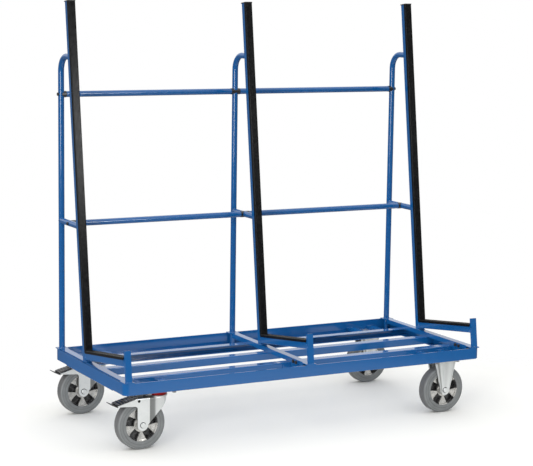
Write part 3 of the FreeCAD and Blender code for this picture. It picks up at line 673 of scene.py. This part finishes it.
# %% Rubber ridges
RIDGE_PITCH = 0.0055
RIDGE_RADIUS = 0.0009
RIDGE_START, RIDGE_INSET = 0.004, 0.002
POST_REACH = 1.410
ROD_SIDES = 8
rod_tree, rod_in = new_tree("ridge", [("Radius", "NodeSocketFloat"), ("Sides", "NodeSocketInt"),
                                      ("Material", "NodeSocketMaterial")])
profile = add(rod_tree, "GeometryNodeCurvePrimitiveCircle", {"mode": "RADIUS"},
              Radius=rod_in["Radius"], Resolution=rod_in["Sides"])
swept = add(rod_tree, "GeometryNodeCurveToMesh", Curve=rod_in["Geometry"],
            Profile_Curve=profile.outputs["Curve"], Fill_Caps=True)
close_tree(rod_tree, swept.outputs["Mesh"], rod_in["Material"])

ridges = []
for x in rack_x.values():
    for line in (-2, -1, 0, 1, 2):
        ridge_x = x + line * RIDGE_PITCH
        ridges.append([tipped(ridge_x, 0, RIDGE_START), tipped(ridge_x, 0, POST_REACH)])
        ridges.append([tipped(ridge_x, RIDGE_INSET - BAY_DEPTH, 0),
                       tipped(ridge_x, -RIDGE_INSET, 0)])
grown("rubber_ridges", path_carrier("ridge_paths", ridges), rod_tree,
      {"Radius": RIDGE_RADIUS, "Sides": ROD_SIDES, "Material": rubber}, "cart")

# %% [markdown]
# The pedal's tread has rows of raised studs between its ribs. Two Array modifiers could repeat
# one stud, but a grid of points is easier to lay on a slope. A stud is a flattened ball, and
# each point of the grid carries one.

# %% Pedal stud tree
STUD_SHAPE = (0.8, 1.3, 0.6)
stud_tree, stud_in = new_tree("stud", [("Radius", "NodeSocketFloat"),
                                       ("Material", "NodeSocketMaterial")])
stud = add(stud_tree, "GeometryNodeMeshUVSphere", Radius=stud_in["Radius"], Segments=12, Rings=8)
studs = add(stud_tree, "GeometryNodeInstanceOnPoints", Points=stud_in["Geometry"],
            Instance=stud.outputs["Mesh"], Scale=STUD_SHAPE)
close_tree(stud_tree, studs.outputs["Instances"], stud_in["Material"])

# %% Pedal studs
PEDAL_SLOPE = math.radians(14)
TREAD_TOP = 0.013
STUD_ROWS, STUD_ROW_PITCH, FIRST_ROW = 7, 0.01314, -0.0015
STUD_COLUMNS, STUD_PITCH = 6, 0.0092
STUD_RADIUS = 0.003


def tread_points(pivot):
    points = []
    for row in range(STUD_ROWS):
        out = FIRST_ROW - row * STUD_ROW_PITCH
        x = out * math.cos(PEDAL_SLOPE) - TREAD_TOP * math.sin(PEDAL_SLOPE)
        z = out * math.sin(PEDAL_SLOPE) + TREAD_TOP * math.cos(PEDAL_SLOPE)
        for column in range(STUD_COLUMNS):
            across = (column - (STUD_COLUMNS - 1) / 2) * STUD_PITCH
            points.append(pivot + Vector((x, across, z)))
    return points


for end in ("front", "rear"):
    grid = bpy.data.meshes.new("stud_points_" + end)
    grid.from_pydata(tread_points(pivots["pedal_" + end]), [], [])
    grown("pedal_studs_" + end, carry("stud_points_" + end, grid), stud_tree,
          {"Radius": STUD_RADIUS, "Material": stud_sheen}, "pedal_" + end)

# %% [markdown]
# Each tyre shows two raised mould rings on either sidewall. They are circles swept with the same
# tree as the ridges, one object for each wheel, because each wheel turns by itself.

# %% Tyre rings
MOULD_RINGS = ((0.0775, 0.0248), (0.0885, 0.0228))
FINE_STEPS = 72


def wheel_ring(centre, radius, out):
    return [centre + Vector((radius * math.cos(turn), out, radius * math.sin(turn)))
            for turn in full_turn(FINE_STEPS)]


for (kind, end), centre in wheels.items():
    rings = [wheel_ring(centre, radius, side * out)
             for side in (-1, 1) for radius, out in MOULD_RINGS]
    name = kind + "_tyre_rings_" + end
    grey = nodes[kind + "_tyre_" + end].data.materials[0]
    grown(name, path_carrier(name + "_paths", rings), rod_tree,
          {"Radius": RIDGE_RADIUS, "Sides": ROD_SIDES, "Material": grey},
          kind + "_wheel_" + end)

# %% [markdown]
# The stage is a plain white floor. A curved backdrop would hide the horizon too, but it would
# shine in the paint. So the floor's rim fades away by Alpha: no edge shows against the white
# surround, and the steel mirrors a darker room beyond it and keeps its deep blue.

# %% Floor
FLOOR_HALF = 3.6
FLOOR_MIDDLE = (0.12, -0.32, 0.0)
FLOOR_REACH = (1.9, 1.4, 1.0)
FADE_START = 0.7
floor_mesh = bpy.data.meshes.new("floor")
corners = [(x * FLOOR_HALF, y * FLOOR_HALF, 0) for x, y in ((-1, -1), (1, -1), (1, 1), (-1, 1))]
floor_mesh.from_pydata(corners, [], [(0, 1, 2, 3)])
floor = carry("floor", floor_mesh)
white = Finish("floor_white")
tone = white.colours(white.noise(0.6, 2.0), (0.85, 0.85, 0.825), (0.87, 0.87, 0.845))
from_middle = white.node("ShaderNodeMapping", {"vector_type": "TEXTURE"},
                         {"Vector": white.place, "Location": FLOOR_MIDDLE, "Scale": FLOOR_REACH})
fade = white.between(white.length(from_middle), FADE_START, 1.0, 1.0, 0.0, "SMOOTHSTEP")
floor_mesh.materials.append(white.shader(Base_Color=tone, Roughness=0.9, Alpha=fade))
print("floor half size:", FLOOR_HALF)

# %% [markdown]
# Light comes from a dome that is brighter overhead, from a bright screen behind the cart and from
# one large soft lamp at the left, whose mirror image draws a pale streak down the round posts.
# A smaller one at the right counts only where it is mirrored: it draws a streak along the round
# rails and a sheen on the rubber. The camera itself sees a plain white surround.

# %% Surround
HORIZON_GLOW, ZENITH_GLOW = 0.22, 1.4
world = bpy.data.worlds.new("surround")
world.use_nodes = True
sky = ShaderTree(world.node_tree)
look = sky.node("ShaderNodeTexCoord", {}, {}, "Generated")
rise = sky.node("ShaderNodeSeparateXYZ", {}, {"Vector": look}, "Z")
ahead = sky.node("ShaderNodeSeparateXYZ", {}, {"Vector": look}, "Y")
dome = sky.between(rise, 0.05, 0.75, HORIZON_GLOW, ZENITH_GLOW)
screen = sky.between(ahead, 0.1, 0.7) * sky.between(rise, 0.0, 0.06)
light = sky.math("MAXIMUM", dome, screen)
seen = sky.node("ShaderNodeLightPath", {}, {}, "Is Camera Ray")
strength = seen + (1 - seen) * light
glow = sky.node("ShaderNodeBackground", {}, {"Color": (1, 1, 1, 1), "Strength": strength})
sky.node("ShaderNodeOutputWorld", {}, {"Surface": glow}, None)
bpy.context.scene.world = world
print("surround nodes:", len(sky.tree.nodes))

# %% Lamps
LAMP_AIM = Vector((0.0, 0.0, 0.9))


def soft_lamp(name, place, width, height, watts):
    data = bpy.data.lights.new(name, "AREA")
    data.shape = "RECTANGLE"
    data.size, data.size_y = width, height
    data.energy = watts
    lamp = carry(name, data)
    lamp.location = place
    lamp.rotation_euler = (LAMP_AIM - Vector(place)).to_track_quat("-Z", "Y").to_euler()
    print(name, "watts:", watts)
    return lamp


soft_lamp("key_lamp", (-6.6, -5.6, 1.9), 3.4, 3.6, 380.0)
gloss_lamp = soft_lamp("gloss_lamp", (1.15, -5.3, 2.1), 1.7, 0.9, 95.0)
gloss_lamp.visible_diffuse = False

# %% [markdown]
# The camera stands where the picture was taken from: low, to the left, and far away with a long
# lens. Its place and turn come from matching corners of the frame with the picture.

# %% Camera
CAMERA_AZIMUTH = math.radians(-28.017)
CAMERA_ELEVATION = math.radians(8.117)
CAMERA_ROLL = math.radians(0.796)
CAMERA_PLACE = Vector((-3.2775, -6.156, 1.765))
FOCAL_PIXELS, PICTURE_WIDTH = 1675.3, 533
SENSOR_WIDTH = 36.0
CLIP_END = 200.0
level = math.cos(CAMERA_ELEVATION)
back = Vector((math.sin(CAMERA_AZIMUTH) * level, -math.cos(CAMERA_AZIMUTH) * level,
               math.sin(CAMERA_ELEVATION)))
right = Vector((0, 0, 1)).cross(back).normalized()
up = back.cross(right)
tilted_right = right * math.cos(CAMERA_ROLL) + up * math.sin(CAMERA_ROLL)
tilted_up = up * math.cos(CAMERA_ROLL) - right * math.sin(CAMERA_ROLL)
camera_data = bpy.data.cameras.new("camera")
camera_data.sensor_fit = "HORIZONTAL"
camera_data.sensor_width = SENSOR_WIDTH
camera_data.lens = SENSOR_WIDTH * FOCAL_PIXELS / PICTURE_WIDTH
camera_data.clip_end = CLIP_END
camera = carry("camera", camera_data)
turned = Matrix((tilted_right, tilted_up, back)).transposed()
camera.matrix_world = Matrix.Translation(CAMERA_PLACE) @ turned.to_4x4()
bpy.context.scene.camera = camera
bpy.context.scene.view_settings.view_transform = "Standard"
print("camera at", [round(v, 3) for v in CAMERA_PLACE])
